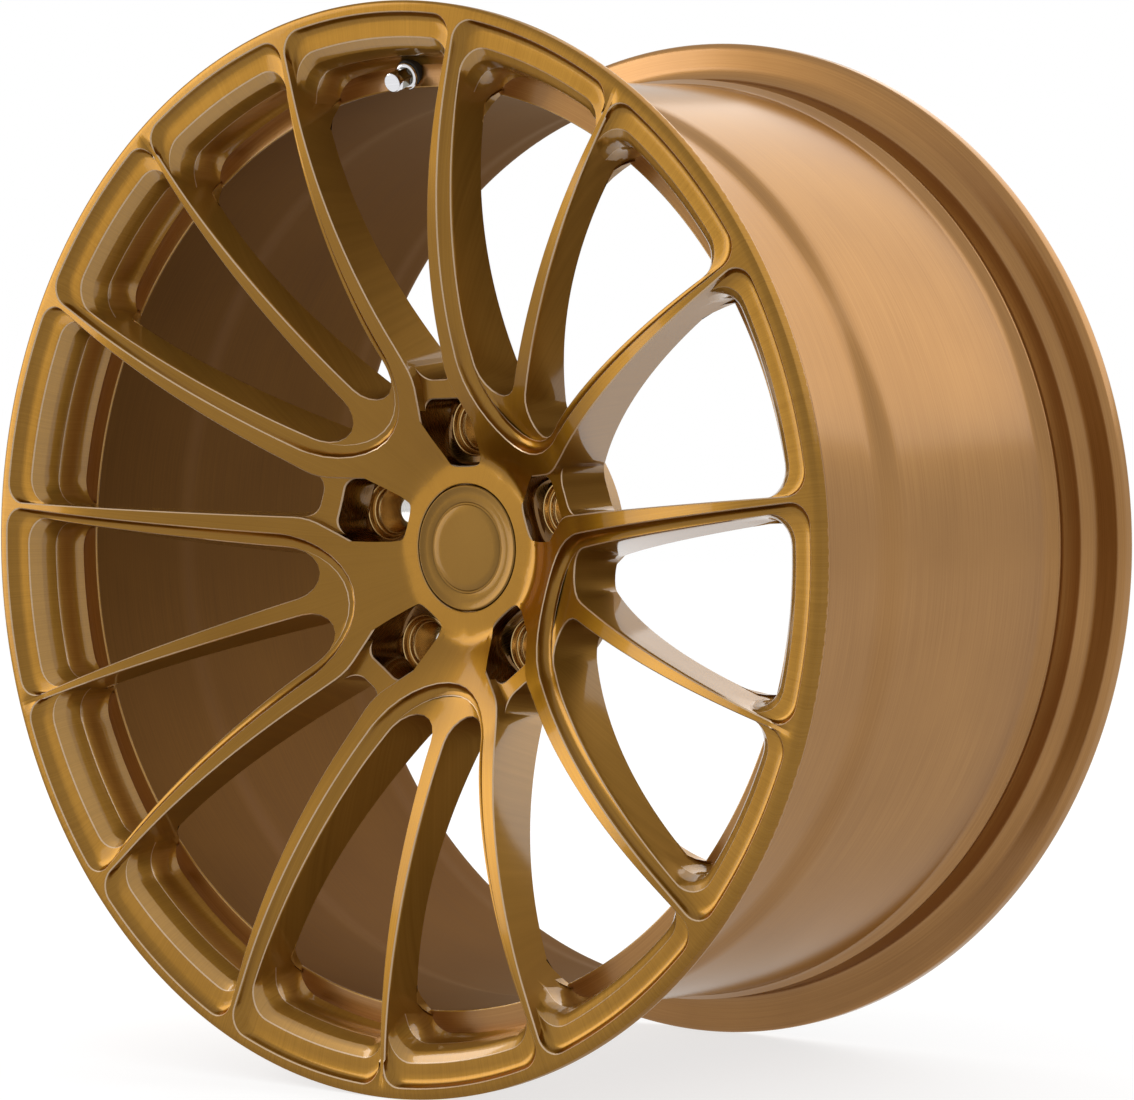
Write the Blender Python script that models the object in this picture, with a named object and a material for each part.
"""Forged racing wheel, 19 x 9.5 inch, five groups of three spokes.

The wheel stands upright with its centre at the origin. The street side faces -Y, the hub side +Y,
and +Z is up. Depths are measured from the front lip plane towards the hub side. Metres throughout.
"""

import math

import bmesh
import bpy
from mathutils import Matrix, Vector

# Rim
FLANGE_DIAMETER = 0.522
OVERALL_WIDTH = 0.263
FLANGE_HEIGHT = 0.0197
FLANGE_LAND = 0.0065
FLANGE_CURL = 0.0025
FLANGE_THICKNESS = 0.0115
FLANGE_FOOT_FILLET = 0.003
FLANGE_EDGE_ROUND = 0.0016
BEAD_SEAT_WIDTH = 0.019
BEAD_SEAT_TAPER = math.radians(5.0)
HUMP_HEIGHT = 0.0012
HUMP_WIDTH = 0.0055
WELL_DROP = 0.0335
WELL_WALL_RUN = 0.012
WELL_WIDTH = 0.047
BARREL_STEP = 0.0035
BARREL_TAPER = 0.006
BARREL_WALL = 0.0052
REAR_LIP_WIDTH = 0.006
REAR_FLARE_DEPTH = 0.0145

# Window ends, machined into the front of the rim
LIP_WIDTH = 0.0057
RECESS_DEPTH = 0.0044
RIM_LEDGE_WIDTH = 0.0114
RIM_BEVEL = 0.0054
UNDERCUT_EDGE_DROP = 0.0038
UNDERCUT_EDGE_DEPTH = 0.0065
COVE_BULGE = 0.003
COVE_END_DROP = 0.0019
FRONT_WALL_DEPTH = 0.0345

# Faces of the spokes, arcs turned about the wheel axis
DISH_RADIUS = 0.285
DISH_START_DIAMETER = 0.465
MID_DISH_RADIUS = 0.320
MID_DISH_INSET = 0.0068
MID_DISH_DROP = 0.0018

# Spokes; each long edge of a side spoke is a straight line with its own splay and offset
GROUPS = 5
FIRST_GROUP_ANGLE = math.radians(54.0)
OUTER_EDGE_SPLAY = math.radians(21.2)
OUTER_EDGE_OFFSET = 0.0112
STEP_EDGE_SPLAY = math.radians(23.4)
STEP_EDGE_OFFSET = -0.0016
STRIP_EDGE_SPLAY = math.radians(24.6)
STRIP_EDGE_OFFSET = -0.01025
BACK_OUTER_SPLAY = math.radians(20.3)
BACK_OUTER_OFFSET = 0.0139
BACK_INNER_SPLAY = math.radians(25.6)
BACK_INNER_OFFSET = -0.0167
MID_FACE_WIDTH_AT_HUB = 0.0085
MID_FACE_WIDTH_AT_RIM = 0.0038
MID_BACK_WIDTH_AT_HUB = 0.0158
MID_BACK_WIDTH_AT_RIM = 0.0075
SPOKE_END_FLARE = 0.0085
SPOKE_BACK_DEPTH = 0.02305
SPOKE_BACK_CREST_DIAMETER = 0.4282
SPOKE_BACK_AT_HUB = 0.060

# Hub
WHEEL_OFFSET = 0.030
HUB_FACE_DEPTH = 0.069
HUB_STUB_LENGTH = 0.00924
HUB_PAD_DIAMETER = 0.150
HUB_PAD_CHAMFER = 0.0015
CENTRE_BORE_DIAMETER = 0.0726
CENTRE_BORE_DEPTH = 0.0195
GROUP_BOTTOM = 0.0655
WINDOW_BOTTOM = 0.0727
WINDOW_ROOT_FILLET = 0.0078
RECESS_DEPTH_AT_HUB = 0.0082
MID_STUB_WIDTH = 0.011
CHANNEL_WIDTH = 0.0295
CHANNEL_START = 0.041
CHANNEL_ROOT = 0.0822
CHANNEL_FILLET = 0.009
SCALLOP_DIAMETER = 0.048
SCALLOP_PITCH_DIAMETER = 0.177
SCALLOP_LENGTH = 0.0195

# Lug seats
LUG_PITCH_DIAMETER = 0.120
LUG_POCKET_DIAMETER = 0.033
LUG_POCKET_DEPTH = 0.0795
LUG_RING_DIAMETER = 0.028
LUG_RING_HEIGHT = 0.003
LUG_SEAT_DIAMETER = 0.0237
LUG_HOLE_DIAMETER = 0.0132
LUG_SEAT_HALF_ANGLE = math.radians(30.0)

# Centre cap
CAP_DIAMETER = 0.064
CAP_THICKNESS = 0.004
CAP_BEVEL = 0.0012
CAP_GROOVE_DIAMETER = 0.046
CAP_GROOVE_WIDTH = 0.0016
CAP_GROOVE_DEPTH = 0.0006
CAP_SHOULDER_HEIGHT = 0.0036
CAP_SKIRT_WALL = 0.0026
CAP_SKIRT_LENGTH = 0.013
CAP_FINGERS = 6
CAP_SLOT_WIDTH = 0.003
CAP_SLOT_LENGTH = 0.0085
CAP_SPRING_WIRE = 0.0016

# Tyre valve, clamped through the front wall of the drop centre
VALVE_ANGLE = math.radians(90.0)
VALVE_TILT = math.radians(22.0)
VALVE_SEAT_DROP = 0.0308
VALVE_SEAT_DEPTH = 0.035
VALVE_WALL = 0.0075
VALVE_HOLE_DIAMETER = 0.0115
VALVE_SPOT_DIAMETER = 0.017
VALVE_SEAL_THICKNESS = 0.0035
VALVE_HEAD_DIAMETER = 0.0165
VALVE_HEAD_THICKNESS = 0.003
VALVE_NECK_DIAMETER = 0.0092
VALVE_TIP_DIAMETER = 0.0077
VALVE_TIP_LENGTH = 0.0065
VALVE_BORE_DIAMETER = 0.0052
WASHER_DIAMETER = 0.0155
WASHER_THICKNESS = 0.002
NUT_ACROSS_FLATS = 0.012
NUT_THICKNESS = 0.004
VALVE_CAP_DIAMETER = 0.0093
VALVE_CAP_LENGTH = 0.0088
VALVE_CAP_TOP = 0.0012
VALVE_CAP_BEVEL = 0.0006
VALVE_CAP_SEAL_THICKNESS = 0.0006
CORE_BODY_LENGTH = 0.009
CORE_BORE_DIAMETER = 0.0024
CORE_PIN_DIAMETER = 0.0014
CORE_PIN_PROUD = 0.0003
CORE_DISC_THICKNESS = 0.0012
CORE_SPRING_WIRE = 0.0004
CORE_SPRING_TURNS = 4
CORE_SPRING_STEPS = 8
CORE_SHOULDER = 0.009

# Fits and mesh fineness
FIT_GAP = 0.0003
RIM_SEGMENTS = 48
HUB_SEGMENTS = 40
SMALL_SEGMENTS = 16
ARC_STEPS = 5
COVE_STEPS = 4
WIRE_SIDES = 6
SPOKE_STATIONS = 9
CUT_MARGIN = 0.012

# Derived places
FLANGE_RADIUS = FLANGE_DIAMETER / 2
LIP_INNER_RADIUS = FLANGE_RADIUS - LIP_WIDTH
WINDOW_EDGE_RADIUS = LIP_INNER_RADIUS - RIM_LEDGE_WIDTH
BEVEL_FOOT_RADIUS = WINDOW_EDGE_RADIUS - RIM_BEVEL
BEVEL_FOOT_DEPTH = RECESS_DEPTH + RIM_BEVEL
UNDERCUT_RADIUS = BEVEL_FOOT_RADIUS - UNDERCUT_EDGE_DROP
UNDERCUT_DEPTH = BEVEL_FOOT_DEPTH + UNDERCUT_EDGE_DEPTH
BEAD_SEAT_RADIUS = FLANGE_RADIUS - FLANGE_HEIGHT
WELL_RADIUS = FLANGE_RADIUS - WELL_DROP
WELL_INNER_RADIUS = WELL_RADIUS - BARREL_WALL
DISH_START_RADIUS = DISH_START_DIAMETER / 2
SPOKE_BACK_CREST_RADIUS = SPOKE_BACK_CREST_DIAMETER / 2
PAD_DEPTH = OVERALL_WIDTH / 2 - WHEEL_OFFSET
GROUP_STEP = 2 * math.pi / GROUPS
CHANNEL_LEAN = GROUP_STEP / 2 - OUTER_EDGE_SPLAY
CHANNEL_BEND = (OUTER_EDGE_OFFSET + CHANNEL_WIDTH / 2 * math.cos(CHANNEL_LEAN)) / math.sin(CHANNEL_LEAN)
HUB_REACH = math.hypot(CHANNEL_WIDTH / 2, CHANNEL_BEND) + HUB_STUB_LENGTH
LUG_RADIUS = LUG_PITCH_DIAMETER / 2
CAP_SEAT_RADIUS = CAP_DIAMETER / 2 + FIT_GAP
CAP_HOLE_RADIUS = CAP_SEAT_RADIUS - CAP_SHOULDER_HEIGHT


def clear_scene():
    for item in list(bpy.data.objects):
        bpy.data.objects.remove(item, do_unlink=True)


def material(name, colour, roughness, metallic):
    """A Principled material with the piece's colour."""
    made = bpy.data.materials.get(name) or bpy.data.materials.new(name)
    made.use_nodes = True
    shader = made.node_tree.nodes["Principled BSDF"]
    shader.inputs["Base Color"].default_value = (*colour, 1.0)
    shader.inputs["Roughness"].default_value = roughness
    shader.inputs["Metallic"].default_value = metallic
    return made


def bronze():
    return material("brushed_bronze", (0.42, 0.27, 0.10), 0.32, 1.0)


def chrome():
    return material("chrome", (0.82, 0.82, 0.84), 0.12, 1.0)


def rubber():
    return material("black_rubber", (0.02, 0.02, 0.02), 0.7, 0.0)


def brass():
    return material("brass", (0.75, 0.55, 0.22), 0.3, 1.0)


def spring_steel():
    return material("spring_steel", (0.55, 0.55, 0.56), 0.35, 1.0)


def black_plastic():
    return material("black_plastic", (0.03, 0.03, 0.03), 0.5, 0.0)


def finish_mesh(name, bm, finish=None, parent=None):
    """Turns a bmesh into a named object, with its faces pointing outwards."""
    bmesh.ops.remove_doubles(bm, verts=bm.verts, dist=1e-6)
    bmesh.ops.recalc_face_normals(bm, faces=bm.faces)
    mesh = bpy.data.meshes.new(name)
    bm.to_mesh(mesh)
    bm.free()
    made = bpy.data.objects.new(name, mesh)
    bpy.context.scene.collection.objects.link(made)
    made.parent = parent
    if finish is None:
        made.hide_render = True
        made.display_type = "WIRE"
        return made
    mesh.materials.append(finish)
    mesh.shade_smooth()
    mesh.set_sharp_from_angle(angle=math.radians(30.0))
    return made


def row_y(depth):
    """World Y of a depth behind the front lip plane."""
    return depth - OVERALL_WIDTH / 2


def wheel_point(radius, angle, depth):
    """World place of a radius, an angle from +X towards +Z, and a depth behind the lip plane."""
    return Vector((radius * math.cos(angle), row_y(depth), radius * math.sin(angle)))


def turned(name, profile, finish, segments, lead=0.0):
    """A ring about the wheel axis, spun from a closed profile of (radius, depth) points.

    The lead, a share of one segment, turns the seams away from those of the shapes that cut it.
    """
    bm = bmesh.new()
    start = lead * 2 * math.pi / segments
    corners = [bm.verts.new(wheel_point(radius, start, depth)) for radius, depth in profile]
    edges = [bm.edges.new((a, b)) for a, b in zip(corners, corners[1:] + corners[:1])]
    bmesh.ops.spin(
        bm, geom=corners + edges, cent=(0, 0, 0), axis=(0, 1, 0), angle=2 * math.pi, steps=segments
    )
    return finish_mesh(name, bm, finish)


def lathe(name, profile, parent, finish=None, segments=SMALL_SEGMENTS):
    """A solid turned about its parent's local Z, from (radius, height) points listed round the section."""
    bm = bmesh.new()
    corners = [bm.verts.new((radius, 0.0, height)) for radius, height in profile]
    edges = [bm.edges.new((a, b)) for a, b in zip(corners, corners[1:] + corners[:1])]
    on_axis = [e for e in edges if max(v.co.x for v in e.verts) < 1e-9]
    bmesh.ops.delete(bm, geom=on_axis, context="EDGES_FACES")
    bmesh.ops.spin(
        bm,
        geom=list(bm.verts) + list(bm.edges),
        cent=(0, 0, 0),
        axis=(0, 0, 1),
        angle=2 * math.pi,
        steps=segments,
    )
    return finish_mesh(name, bm, finish, parent)


def ring_profile(inner, outer, low, high):
    """A rectangular ring section."""
    return [(inner, low), (outer, low), (outer, high), (inner, high)]


def prism(name, outlines, front, back):
    """Closed outlines of (x, z) points, each carried from one depth to another, as a cutter."""
    bm = bmesh.new()
    for outline in outlines:
        face = bm.faces.new([bm.verts.new((x, row_y(front), z)) for x, z in outline])
        made = bmesh.ops.extrude_face_region(bm, geom=[face])
        moved = [v for v in made["geom"] if isinstance(v, bmesh.types.BMVert)]
        bmesh.ops.translate(bm, verts=moved, vec=(0, back - front, 0))
    return finish_mesh(name, bm)


def lofted(name, sections, finish):
    """A solid through sections of equal point counts, closed by a flat face at each end."""
    bm = bmesh.new()
    rings = [[bm.verts.new(point) for point in section] for section in sections]
    for near, far in zip(rings, rings[1:]):
        for i in range(len(near)):
            j = (i + 1) % len(near)
            bm.faces.new((near[i], near[j], far[j], far[i]))
    bm.faces.new(rings[0])
    bm.faces.new(rings[-1][::-1])
    return finish_mesh(name, bm, finish)


def boolean(target, operation, tool):
    cut = target.modifiers.new(tool.name, "BOOLEAN")
    cut.operation = operation
    cut.solver = "EXACT"
    cut.object = tool


def arc(centre, radius, start, end, steps=ARC_STEPS):
    """Points (x, z) of an arc, with angles measured from +X towards +Z."""
    angles = [start + (end - start) * i / steps for i in range(steps + 1)]
    return [(centre[0] + radius * math.cos(a), centre[1] + radius * math.sin(a)) for a in angles]


def mix(start, end, share):
    return start + (end - start) * share


def share_between(value, start, end):
    """How far value lies from start to end, held between 0 and 1."""
    return min(1.0, max(0.0, (value - start) / (end - start)))


def turn_outline(points, angle):
    """Turns (x, z) points so that their +Z comes to lie at an angle from +X."""
    turn = angle - math.pi / 2
    c, s = math.cos(turn), math.sin(turn)
    return [(c * x - s * z, s * x + c * z) for x, z in points]


def group_angle(group):
    return FIRST_GROUP_ANGLE + group * GROUP_STEP


def arc_depth(radius, start, bend):
    """Depth of an arc that starts level at one radius and bends away from the street side inwards."""
    run = max(0.0, start - radius)
    return bend - math.sqrt(bend**2 - run**2)


def dish_depth(radius):
    """Depth of the side spokes' faces."""
    return arc_depth(radius, DISH_START_RADIUS, DISH_RADIUS)


def mid_dish_depth(radius):
    """Depth of the middle spokes' faces, which lie lower and start below the lip."""
    return MID_DISH_DROP + arc_depth(radius, FLANGE_RADIUS - MID_DISH_INSET, MID_DISH_RADIUS)


def recess_depth(radius):
    """Depth of the stepped-down floor inside a spoke group, deeper towards the hub."""
    share = share_between(radius, WINDOW_BOTTOM, HUB_REACH)
    return dish_depth(radius) + mix(RECESS_DEPTH_AT_HUB, RECESS_DEPTH, share)


def spoke_back_depth(radius):
    """Depth of the backs of the spokes: a parabola with its crest near the rim."""
    share = (SPOKE_BACK_CREST_RADIUS - radius) / (SPOKE_BACK_CREST_RADIUS - HUB_REACH)
    return mix(SPOKE_BACK_DEPTH, SPOKE_BACK_AT_HUB, share**2)


def flange_profile():
    """The outside of a flange, from its face over its edge down to the bead seat."""
    return [
        (FLANGE_RADIUS - FLANGE_EDGE_ROUND, 0.0),
        (FLANGE_RADIUS, FLANGE_EDGE_ROUND),
        (FLANGE_RADIUS, FLANGE_LAND),
        (FLANGE_RADIUS - FLANGE_CURL, FLANGE_LAND + FLANGE_CURL),
        (BEAD_SEAT_RADIUS + FLANGE_FOOT_FILLET, FLANGE_THICKNESS),
        (BEAD_SEAT_RADIUS, FLANGE_THICKNESS + FLANGE_FOOT_FILLET),
    ]


def window_end_profile():
    """The front of the rim inside the lip: cove, undercut edge, bevel and recessed ledge."""
    foot = (UNDERCUT_RADIUS - COVE_END_DROP, FRONT_WALL_DEPTH)
    edge = (UNDERCUT_RADIUS, UNDERCUT_DEPTH)
    shares = [i / COVE_STEPS for i in range(COVE_STEPS + 1)]
    cove = [
        (mix(foot[0], edge[0], s) + 4 * COVE_BULGE * s * (1 - s), mix(foot[1], edge[1], s)) for s in shares
    ]
    return cove + [
        (BEVEL_FOOT_RADIUS, BEVEL_FOOT_DEPTH),
        (WINDOW_EDGE_RADIUS, RECESS_DEPTH),
        (LIP_INNER_RADIUS - FLANGE_EDGE_ROUND, RECESS_DEPTH),
        (LIP_INNER_RADIUS, RECESS_DEPTH - FLANGE_EDGE_ROUND),
        (LIP_INNER_RADIUS, 0.0),
    ]


def rim_profile():
    """The rim's section, listed from the lip over the outside of the barrel and back through the inside."""
    hump_start = FLANGE_THICKNESS + BEAD_SEAT_WIDTH
    hump_end = hump_start + HUMP_WIDTH
    well_start = hump_end + WELL_WALL_RUN
    well_end = well_start + WELL_WIDTH
    barrel_start = well_end + WELL_WALL_RUN
    rear_hump = OVERALL_WIDTH - hump_start
    rear_rise = OVERALL_WIDTH - hump_end
    barrel_end = rear_rise - HUMP_WIDTH
    seat_foot = BEAD_SEAT_RADIUS - BEAD_SEAT_WIDTH * math.tan(BEAD_SEAT_TAPER)
    barrel_radius = WELL_RADIUS + BARREL_STEP
    barrel_end_radius = barrel_radius + BARREL_TAPER
    outside = [
        (seat_foot, hump_start),
        (seat_foot + HUMP_HEIGHT, (hump_start + hump_end) / 2),
        (seat_foot, hump_end),
        (WELL_RADIUS, well_start),
        (WELL_RADIUS, well_end),
        (barrel_radius, barrel_start),
        (barrel_end_radius, barrel_end),
        (seat_foot, rear_rise),
        (seat_foot + HUMP_HEIGHT, (rear_rise + rear_hump) / 2),
        (seat_foot, rear_hump),
    ]
    rear_flange = [(radius, OVERALL_WIDTH - depth) for radius, depth in reversed(flange_profile())]
    inside = [
        (FLANGE_RADIUS - REAR_LIP_WIDTH, OVERALL_WIDTH),
        (BEAD_SEAT_RADIUS - BARREL_WALL, OVERALL_WIDTH - REAR_FLARE_DEPTH),
        (seat_foot - BARREL_WALL, rear_hump),
        (barrel_end_radius - BARREL_WALL, barrel_end),
        (barrel_radius - BARREL_WALL, barrel_start),
        (WELL_INNER_RADIUS, well_end),
        (WELL_INNER_RADIUS, FRONT_WALL_DEPTH),
    ]
    return flange_profile() + outside + rear_flange + inside + window_end_profile()


def make_rim(valve_frame):
    rim = turned("rim_barrel", rim_profile(), bronze(), RIM_SEGMENTS)
    boolean(rim, "DIFFERENCE", valve_hole_cutter(valve_frame))


def edge_angle(radius, splay, offset):
    """Angle from the middle spoke to a straight edge, at its crossing with a radius."""
    return splay + math.asin(offset / radius)


def end_flare(radius):
    """How far a spoke face widens on each side where it runs out into the lip."""
    start = LIP_INNER_RADIUS - SPOKE_END_FLARE
    if radius <= start:
        return 0.0
    climb = min(1.0, (radius - start) / SPOKE_END_FLARE)
    return SPOKE_END_FLARE * (1.0 - math.sqrt(max(0.0, 1.0 - climb**2)))


def inside_rim(radius):
    """A radius that stays clear of the flat facets which stand in for a circle of the rim."""
    return radius * math.cos(math.pi / RIM_SEGMENTS) - FIT_GAP


def spoke_stations():
    """(radius, depth of the underside) from the hub's end face out to the lip, clear of the rim."""
    start = HUB_REACH + 2 * FIT_GAP
    end = inside_rim(UNDERCUT_RADIUS) - FIT_GAP
    lip = inside_rim(LIP_INNER_RADIUS)
    radii = [mix(start, end, i / (SPOKE_STATIONS - 1)) for i in range(SPOKE_STATIONS)]
    stations = [(radius, spoke_back_depth(radius)) for radius in radii]
    under = RECESS_DEPTH - FIT_GAP
    stations += [
        (inside_rim(UNDERCUT_RADIUS), UNDERCUT_DEPTH - 2 * FIT_GAP),
        (inside_rim(BEVEL_FOOT_RADIUS), BEVEL_FOOT_DEPTH - 2 * FIT_GAP),
        (inside_rim(WINDOW_EDGE_RADIUS), under),
        (lip - SPOKE_END_FLARE, under),
        (lip - SPOKE_END_FLARE / 2, under),
        (lip - FLANGE_EDGE_ROUND, under),
        (lip, RECESS_DEPTH - FLANGE_EDGE_ROUND - 2 * FIT_GAP),
    ]
    return stations


def mid_spoke_sections(angle):
    """Sections of a middle spoke: a narrow face and sides that flare out towards the back."""
    sections = []
    for radius, back in spoke_stations():
        share = share_between(radius, HUB_REACH, WINDOW_EDGE_RADIUS)
        flare = end_flare(radius)
        face_turn = (mix(MID_FACE_WIDTH_AT_HUB, MID_FACE_WIDTH_AT_RIM, share) / 2 + flare) / radius
        back_turn = (mix(MID_BACK_WIDTH_AT_HUB, MID_BACK_WIDTH_AT_RIM, share) / 2 + flare) / radius
        front = min(mid_dish_depth(radius), back - FIT_GAP)
        sections.append(
            [
                wheel_point(radius, angle - face_turn, front),
                wheel_point(radius, angle + face_turn, front),
                wheel_point(radius, angle + back_turn, back),
                wheel_point(radius, angle - back_turn, back),
            ]
        )
    return sections


def side_spoke_sections(angle, side):
    """Sections of a side spoke: a flat face, a step down, and a strip along the group's inner side."""
    sections = []
    for radius, back in spoke_stations():
        flare = end_flare(radius) / radius
        outer = edge_angle(radius, OUTER_EDGE_SPLAY, OUTER_EDGE_OFFSET) + flare
        step = edge_angle(radius, STEP_EDGE_SPLAY, STEP_EDGE_OFFSET) - flare
        strip = edge_angle(radius, STRIP_EDGE_SPLAY, STRIP_EDGE_OFFSET) - flare
        back_inner = edge_angle(radius, BACK_INNER_SPLAY, BACK_INNER_OFFSET) - flare
        back_outer = edge_angle(radius, BACK_OUTER_SPLAY, BACK_OUTER_OFFSET) + flare
        face_depth = dish_depth(radius)
        strip_depth = min(recess_depth(radius), back - FIT_GAP)
        sections.append(
            [
                wheel_point(radius, angle + side * outer, face_depth),
                wheel_point(radius, angle + side * step, face_depth),
                wheel_point(radius, angle + side * step, strip_depth),
                wheel_point(radius, angle + side * strip, strip_depth),
                wheel_point(radius, angle + side * back_inner, back),
                wheel_point(radius, angle + side * back_outer, back),
            ]
        )
    return sections


def make_spokes():
    for group in range(GROUPS):
        angle = group_angle(group)
        lofted(f"spoke_{group + 1}_middle", mid_spoke_sections(angle), bronze())
        lofted(f"spoke_{group + 1}_left", side_spoke_sections(angle, 1), bronze())
        lofted(f"spoke_{group + 1}_right", side_spoke_sections(angle, -1), bronze())


def group_arc(bottom, splay, offset):
    """(centre height, radius) of the arc across a group's bottom, tangent to its two splayed edges."""
    centre = (bottom + offset) / (1.0 - math.sin(splay))
    return centre, centre - bottom


def edge_point(radius, splay, offset):
    """(x, z) of a straight edge at a radius, middle spoke along +Z."""
    turn = edge_angle(radius, splay, offset)
    return radius * math.sin(turn), radius * math.cos(turn)


def hub_window_points():
    """Half of the hub's edge inside a group, from the middle spoke to the side spoke, mid spoke along +Z."""
    half = MID_STUB_WIDTH / 2
    centre, radius = group_arc(WINDOW_BOTTOM, STRIP_EDGE_SPLAY, STRIP_EDGE_OFFSET)
    fillet = WINDOW_ROOT_FILLET
    reach = radius - fillet
    root = (half + fillet, centre - math.sqrt(reach**2 - (half + fillet) ** 2))
    meet = math.atan2(root[1] - centre, root[0])
    start = (half, math.sqrt(HUB_REACH**2 - half**2))
    points = [start] + arc(root, fillet, math.pi, 2 * math.pi + meet)
    points += arc((0.0, centre), radius, meet, -STRIP_EDGE_SPLAY)[1:]
    return points + [edge_point(HUB_REACH, STRIP_EDGE_SPLAY, STRIP_EDGE_OFFSET)]


def hub_channel_points():
    """Half of the hub's edge between two groups, lug hole along +Z, from the spoke to the middle."""
    half = CHANNEL_WIDTH / 2
    start_angle = CHANNEL_LEAN - math.asin(OUTER_EDGE_OFFSET / HUB_REACH)
    start = (-HUB_REACH * math.sin(start_angle), HUB_REACH * math.cos(start_angle))
    corner = (-half + CHANNEL_FILLET, CHANNEL_ROOT + CHANNEL_FILLET)
    return [start, (-half, CHANNEL_BEND)] + arc(corner, CHANNEL_FILLET, math.pi, 1.5 * math.pi)


def mirrored(points):
    return [(-x, z) for x, z in reversed(points)]


def hub_outline():
    """The hub's edge all round, clockwise from the first group."""
    inside = hub_window_points()
    between = hub_channel_points()
    outline = []
    for group in range(GROUPS):
        angle = group_angle(-group)
        outline += turn_outline(mirrored(inside) + inside, angle)
        outline += turn_outline(between + mirrored(between), angle - GROUP_STEP / 2)
    return outline


def hub_section():
    """The hub's turned section: face, dish, back, pad, bore and the seat of the centre cap."""
    outer = HUB_REACH + CUT_MARGIN
    face_run = math.sqrt(DISH_RADIUS**2 - (DISH_RADIUS - HUB_FACE_DEPTH) ** 2)
    face_end = max(DISH_START_RADIUS - face_run, CAP_SEAT_RADIUS + FIT_GAP)
    dish = [mix(face_end, outer, i / ARC_STEPS) for i in range(ARC_STEPS + 1)]
    front = [(CAP_SEAT_RADIUS, HUB_FACE_DEPTH)]
    front += [(radius, dish_depth(radius)) for radius in dish]
    pad = HUB_PAD_DIAMETER / 2
    backs = [mix(outer, pad, i / ARC_STEPS) for i in range(ARC_STEPS + 1)]
    back = [(radius, min(spoke_back_depth(radius), PAD_DEPTH - HUB_PAD_CHAMFER)) for radius in backs]
    bore = CENTRE_BORE_DIAMETER / 2
    bore_end = PAD_DEPTH - CENTRE_BORE_DEPTH
    seat = HUB_FACE_DEPTH + CAP_THICKNESS + FIT_GAP
    return front + back + [
        (pad - HUB_PAD_CHAMFER, PAD_DEPTH),
        (bore + HUB_PAD_CHAMFER, PAD_DEPTH),
        (bore, PAD_DEPTH - HUB_PAD_CHAMFER),
        (bore, bore_end),
        (CAP_HOLE_RADIUS, bore_end),
        (CAP_HOLE_RADIUS, seat),
        (CAP_SEAT_RADIUS, seat),
    ]


def floor_slab(name, depth_at, lead):
    """Everything in front of a turned floor, as a cutter."""
    outer = HUB_REACH + CUT_MARGIN
    inner = CHANNEL_START - CUT_MARGIN
    steps = ARC_STEPS + 2
    radii = [mix(outer, inner, i / steps) for i in range(steps + 1)]
    floor = [(radius, depth_at(radius)) for radius in radii]
    return turned(name, [(inner, 0.0), (outer, 0.0)] + floor, None, HUB_SEGMENTS, lead)


def group_recess_outline():
    """The stepped-down area inside a group, middle spoke along +Z."""
    centre, radius = group_arc(GROUP_BOTTOM, STEP_EDGE_SPLAY, STEP_EDGE_OFFSET)
    end = edge_point(HUB_REACH + CUT_MARGIN / 2, STEP_EDGE_SPLAY, STEP_EDGE_OFFSET)
    half = arc((0.0, centre), radius, -math.pi / 2, -STEP_EDGE_SPLAY) + [end]
    return mirrored(half) + half[1:]


def mid_stub_outline():
    """The root of a middle spoke, whose face lies lower than the recess round it."""
    half = MID_STUB_WIDTH / 2 + WINDOW_ROOT_FILLET / 2
    top = HUB_REACH + CUT_MARGIN / 2
    return [(-half, top), (-half, WINDOW_BOTTOM), (half, WINDOW_BOTTOM), (half, top)]


def channel_outline():
    """The stepped-down channel between two groups, lug hole along +Z, just inside the window's walls."""
    half = CHANNEL_WIDTH / 2 - FIT_GAP
    top = HUB_REACH + CUT_MARGIN / 2
    foot = arc((0.0, CHANNEL_START + half), half, math.pi, 2 * math.pi)
    return [(-half, top)] + foot + [(half, top)]


def recess_cutter():
    outlines = []
    for group in range(GROUPS):
        angle = group_angle(group)
        outlines.append(turn_outline(group_recess_outline(), angle))
        outlines.append(turn_outline(channel_outline(), angle + GROUP_STEP / 2))
    cutter = prism("recess_cutter", outlines, 0.0, PAD_DEPTH)
    boolean(cutter, "INTERSECT", floor_slab("recess_floor_cutter", recess_depth, 0.25))
    return cutter


def mid_stub_cutter():
    outlines = [turn_outline(mid_stub_outline(), group_angle(group)) for group in range(GROUPS)]
    cutter = prism("mid_stub_cutter", outlines, 0.0, PAD_DEPTH)
    boolean(cutter, "INTERSECT", floor_slab("mid_floor_cutter", mid_dish_depth, 0.35))
    return cutter


def axis_empty(name, place, direction):
    """An empty with its local Z along a direction, to carry the pieces turned about that axis."""
    made = bpy.data.objects.new(name, None)
    bpy.context.scene.collection.objects.link(made)
    made.matrix_world = Matrix.Translation(place) @ direction.to_track_quat("Z", "Y").to_matrix().to_4x4()
    return made


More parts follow.
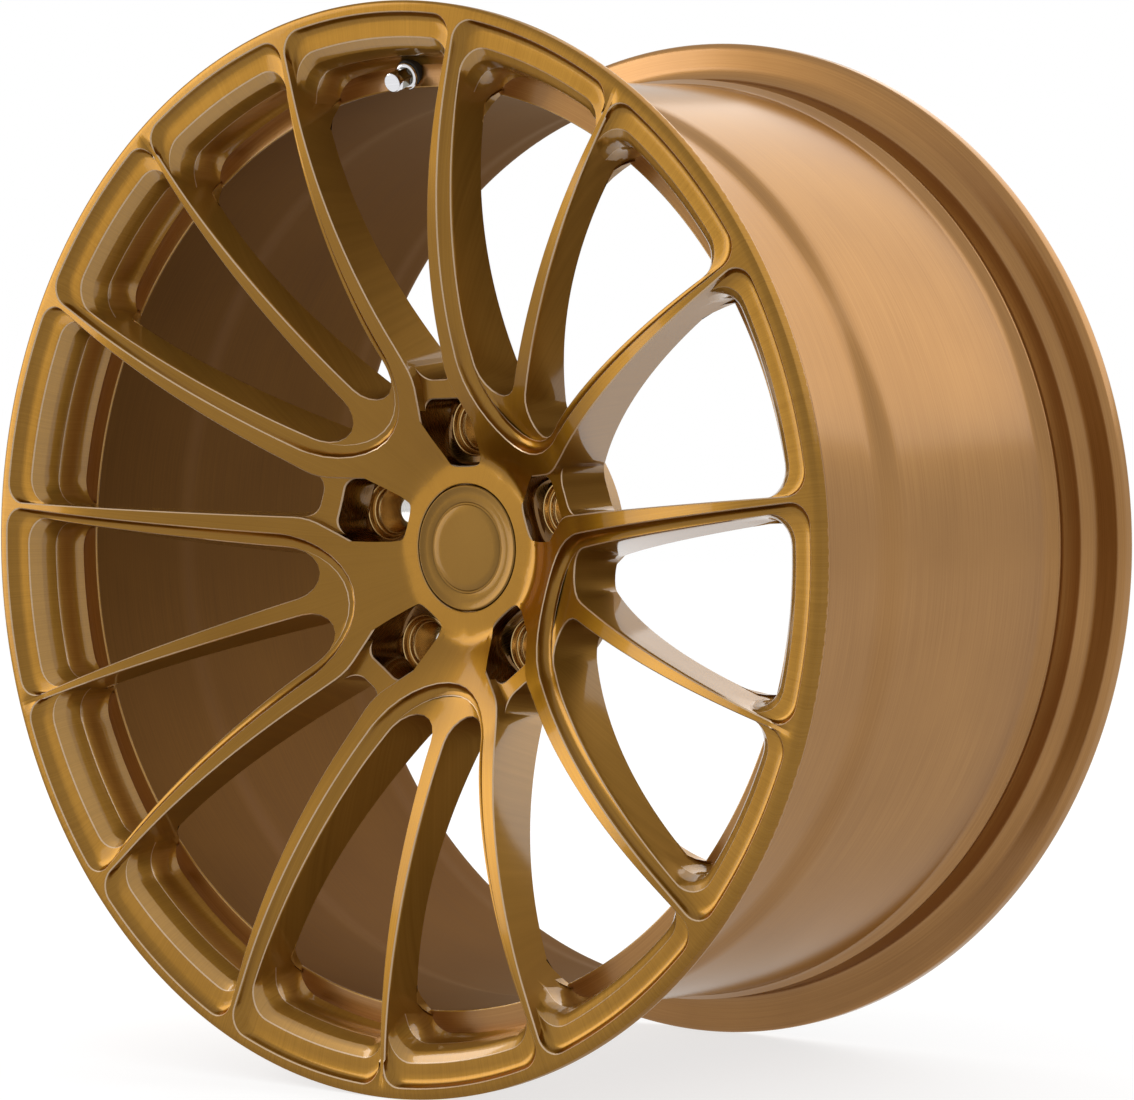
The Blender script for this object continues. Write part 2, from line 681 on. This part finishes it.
def lug_cutter(number):
    """A stepped lug seat: pocket, two rings, conical seat and through hole."""
    angle = group_angle(number) + GROUP_STEP / 2
    frame = axis_empty(f"lug_axis_{number + 1}", wheel_point(LUG_RADIUS, angle, 0.0), Vector((0, 1, 0)))
    pocket = LUG_POCKET_DIAMETER / 2
    ring = LUG_RING_DIAMETER / 2
    seat = LUG_SEAT_DIAMETER / 2
    hole = LUG_HOLE_DIAMETER / 2
    ring_floor = LUG_POCKET_DEPTH + LUG_RING_HEIGHT
    cone_end = ring_floor + (seat - hole) / math.tan(LUG_SEAT_HALF_ANGLE)
    through = PAD_DEPTH + CUT_MARGIN
    profile = [
        (0.0, 0.0),
        (pocket, 0.0),
        (pocket, LUG_POCKET_DEPTH),
        (ring, LUG_POCKET_DEPTH),
        (ring, ring_floor),
        (seat, ring_floor),
        (hole, cone_end),
        (hole, through),
        (0.0, through),
    ]
    return lathe(f"lug_cutter_{number + 1}", profile, frame)


def scallop_cutter(number):
    """A round relief in the hub's back, behind the bottom of a group."""
    place = wheel_point(SCALLOP_PITCH_DIAMETER / 2, group_angle(number), PAD_DEPTH - SCALLOP_LENGTH)
    frame = axis_empty(f"scallop_axis_{number + 1}", place, Vector((0, 1, 0)))
    length = SCALLOP_LENGTH + CUT_MARGIN
    profile = [(0.0, 0.0), (SCALLOP_DIAMETER / 2, 0.0), (SCALLOP_DIAMETER / 2, length), (0.0, length)]
    return lathe(f"scallop_cutter_{number + 1}", profile, frame)


def make_hub():
    hub = turned("hub", hub_section(), bronze(), HUB_SEGMENTS, 0.5)
    boolean(hub, "INTERSECT", prism("hub_outline_cutter", [hub_outline()], 0.0, OVERALL_WIDTH))
    boolean(hub, "DIFFERENCE", recess_cutter())
    boolean(hub, "DIFFERENCE", mid_stub_cutter())
    for number in range(GROUPS):
        boolean(hub, "DIFFERENCE", lug_cutter(number))
        boolean(hub, "DIFFERENCE", scallop_cutter(number))


def make_centre_cap():
    """The push-in cap: a disc with a groove, a slotted skirt behind it and a wire that springs it tight."""
    frame = axis_empty("centre_cap_axis", wheel_point(0.0, 0.0, HUB_FACE_DEPTH), Vector((0, 1, 0)))
    radius = CAP_DIAMETER / 2
    groove = CAP_GROOVE_DIAMETER / 2
    half = CAP_GROOVE_WIDTH / 2
    disc = [
        (0.0, 0.0),
        (groove - half, 0.0),
        (groove, CAP_GROOVE_DEPTH),
        (groove + half, 0.0),
        (radius - CAP_BEVEL, 0.0),
        (radius, CAP_BEVEL),
        (radius, CAP_THICKNESS),
        (0.0, CAP_THICKNESS),
    ]
    lathe("centre_cap_disc", disc, frame, bronze(), 2 * SMALL_SEGMENTS)
    outer = CAP_HOLE_RADIUS - FIT_GAP
    inner = outer - CAP_SKIRT_WALL
    start = CAP_THICKNESS + FIT_GAP
    end = start + CAP_SKIRT_LENGTH
    wire = CAP_SPRING_WIRE / 2
    seat = inner - wire - FIT_GAP
    skirt = ring_profile(inner, outer, start, end)
    fingers = lathe("centre_cap_clip", skirt, frame, black_plastic(), 2 * SMALL_SEGMENTS)
    boolean(fingers, "DIFFERENCE", cap_slot_cutter(frame, end, outer))
    middle = end - CAP_SLOT_LENGTH / 2
    turns = [2 * math.pi * i / WIRE_SIDES for i in range(WIRE_SIDES)]
    section = [(seat + wire * math.cos(a), middle + wire * math.sin(a)) for a in turns]
    lathe("centre_cap_spring_ring", section, frame, spring_steel(), 2 * SMALL_SEGMENTS)


def cap_slot_cutter(frame, end, outer):
    """Three bars crossing the skirt, which part its free edge into spring fingers."""
    bm = bmesh.new()
    for number in range(CAP_FINGERS // 2):
        turn = Matrix.Rotation(math.pi * number / (CAP_FINGERS // 2), 4, "Z")
        size = Vector((2 * outer + CUT_MARGIN, CAP_SLOT_WIDTH, CAP_SLOT_LENGTH + CUT_MARGIN))
        place = Matrix.Translation((0, 0, end - CAP_SLOT_LENGTH + size.z / 2))
        bmesh.ops.create_cube(bm, size=1.0, matrix=turn @ place @ Matrix.Diagonal((*size, 1.0)))
    return finish_mesh("cap_slot_cutter", bm, None, frame)


def valve_axis():
    """The valve's frame: origin on its seat in the rim's front wall, local Z out towards the valve cap."""
    radial = Vector((math.cos(VALVE_ANGLE), 0.0, math.sin(VALVE_ANGLE)))
    direction = -math.cos(VALVE_TILT) * Vector((0, 1, 0)) - math.sin(VALVE_TILT) * radial
    seat = wheel_point(FLANGE_RADIUS - VALVE_SEAT_DROP, VALVE_ANGLE, VALVE_SEAT_DEPTH)
    return axis_empty("valve_axis", seat, direction)


def valve_hole_cutter(frame):
    """The valve hole, with a flat spot-face where each rubber seal sits."""
    hole = VALVE_HOLE_DIAMETER / 2
    spot = VALVE_SPOT_DIAMETER / 2 + FIT_GAP
    profile = [
        (0.0, -VALVE_WALL - CUT_MARGIN),
        (spot, -VALVE_WALL - CUT_MARGIN),
        (spot, -VALVE_WALL),
        (hole, -VALVE_WALL),
        (hole, 0.0),
        (spot, 0.0),
        (spot, CUT_MARGIN),
        (0.0, CUT_MARGIN),
    ]
    return lathe("valve_hole_cutter", profile, frame)


def make_valve(frame):
    """The clamp-in valve, from the seal inside the tyre out to the cap."""
    neck = VALVE_NECK_DIAMETER / 2
    tip = VALVE_TIP_DIAMETER / 2
    bore = VALVE_BORE_DIAMETER / 2
    seal_top = -VALVE_WALL - FIT_GAP
    seal_foot = seal_top - VALVE_SEAL_THICKNESS
    head_top = seal_foot - FIT_GAP
    head_foot = head_top - VALVE_HEAD_THICKNESS
    washer_top = FIT_GAP + WASHER_THICKNESS
    nut_foot = washer_top + FIT_GAP
    nut_top = nut_foot + NUT_THICKNESS
    tip_top = nut_top + VALVE_TIP_LENGTH
    shoulder = head_foot + CORE_SHOULDER
    stem = [
        (CORE_BORE_DIAMETER / 2, head_foot),
        (VALVE_HEAD_DIAMETER / 2, head_foot),
        (VALVE_HEAD_DIAMETER / 2, head_top),
        (neck, head_top),
        (neck, nut_top),
        (tip, nut_top),
        (tip, tip_top),
        (bore, tip_top),
        (bore, shoulder),
        (CORE_BORE_DIAMETER / 2, shoulder),
    ]
    lathe("valve_stem", stem, frame, chrome())
    clear_neck = neck + FIT_GAP
    seal = ring_profile(clear_neck, VALVE_SPOT_DIAMETER / 2, seal_foot, seal_top)
    lathe("valve_inner_seal", seal, frame, rubber())
    washer = ring_profile(clear_neck, WASHER_DIAMETER / 2, FIT_GAP, washer_top)
    lathe("valve_washer", washer, frame, rubber())
    corner = NUT_ACROSS_FLATS / 2 / math.cos(math.pi / 6)
    make_nut(frame, clear_neck, corner, nut_foot, nut_top)
    make_valve_cap(frame, nut_top + FIT_GAP, tip_top)
    make_valve_core(frame, bore - FIT_GAP, tip_top, shoulder)


def make_nut(frame, inner, corner, foot, top):
    """A hexagon nut with a round clearance bore."""
    outer = lathe("valve_nut", ring_profile(0.0, corner, foot, top), frame, chrome(), 6)
    hole = ring_profile(0.0, inner, foot - CUT_MARGIN / 2, top + CUT_MARGIN / 2)
    boolean(outer, "DIFFERENCE", lathe("valve_nut_bore_cutter", hole, frame))


def make_valve_cap(frame, foot, tip_top):
    """The screw cap and the seal that it presses on the valve's mouth."""
    outer = VALVE_CAP_DIAMETER / 2
    inner = VALVE_TIP_DIAMETER / 2 + FIT_GAP
    top = foot + VALVE_CAP_LENGTH
    roof = top - VALVE_CAP_TOP
    cap = [
        (0.0, roof),
        (inner, roof),
        (inner, foot),
        (outer, foot),
        (outer, top - VALVE_CAP_BEVEL),
        (outer - VALVE_CAP_BEVEL, top),
        (0.0, top),
    ]
    lathe("valve_cap", cap, frame, chrome())
    seal_foot = tip_top + FIT_GAP
    seal_top = min(seal_foot + VALVE_CAP_SEAL_THICKNESS, roof - FIT_GAP)
    hole = CORE_PIN_DIAMETER + FIT_GAP
    seal = ring_profile(hole, VALVE_TIP_DIAMETER / 2, seal_foot, seal_top)
    lathe("valve_cap_seal", seal, frame, rubber())


def make_valve_core(frame, outer, tip_top, shoulder):
    """The core: a body screwed into the stem, a pin that shuts its foot, and the pin's spring."""
    body_top = tip_top - CORE_PIN_DIAMETER
    body_foot = body_top - CORE_BODY_LENGTH
    bore = CORE_BORE_DIAMETER / 2
    pin = CORE_PIN_DIAMETER / 2
    lathe("valve_core_body", ring_profile(bore, outer, body_foot, body_top), frame, brass())
    disc_top = body_foot - FIT_GAP
    disc_foot = disc_top - CORE_DISC_THICKNESS
    pin_top = tip_top - CORE_PIN_PROUD
    section = [
        (0.0, disc_foot),
        (outer - FIT_GAP, disc_foot),
        (outer - FIT_GAP, disc_top),
        (pin, disc_top),
        (pin, pin_top),
        (0.0, pin_top),
    ]
    lathe("valve_core_pin", section, frame, brass())
    low = shoulder + FIT_GAP + CORE_SPRING_WIRE / 2
    high = disc_foot - FIT_GAP - CORE_SPRING_WIRE / 2
    make_spring(frame, outer - CORE_SPRING_WIRE, low, high)


def make_spring(frame, radius, low, high):
    """The core's coil spring: a round wire carried along a helix."""
    curve = bpy.data.curves.new("valve_core_spring", "CURVE")
    curve.dimensions = "3D"
    curve.bevel_depth = CORE_SPRING_WIRE / 2
    curve.bevel_resolution = 0
    curve.use_fill_caps = True
    steps = CORE_SPRING_STEPS * CORE_SPRING_TURNS
    path = curve.splines.new("POLY")
    path.points.add(steps)
    for i, point in enumerate(path.points):
        turn = 2 * math.pi * i / CORE_SPRING_STEPS
        height = mix(low, high, i / steps)
        point.co = (radius * math.cos(turn), radius * math.sin(turn), height, 1.0)
    spring = bpy.data.objects.new("valve_core_spring", curve)
    bpy.context.scene.collection.objects.link(spring)
    spring.parent = frame
    curve.materials.append(spring_steel())


def main():
    clear_scene()
    valve_frame = valve_axis()
    make_rim(valve_frame)
    make_spokes()
    make_hub()
    make_centre_cap()
    make_valve(valve_frame)


main()
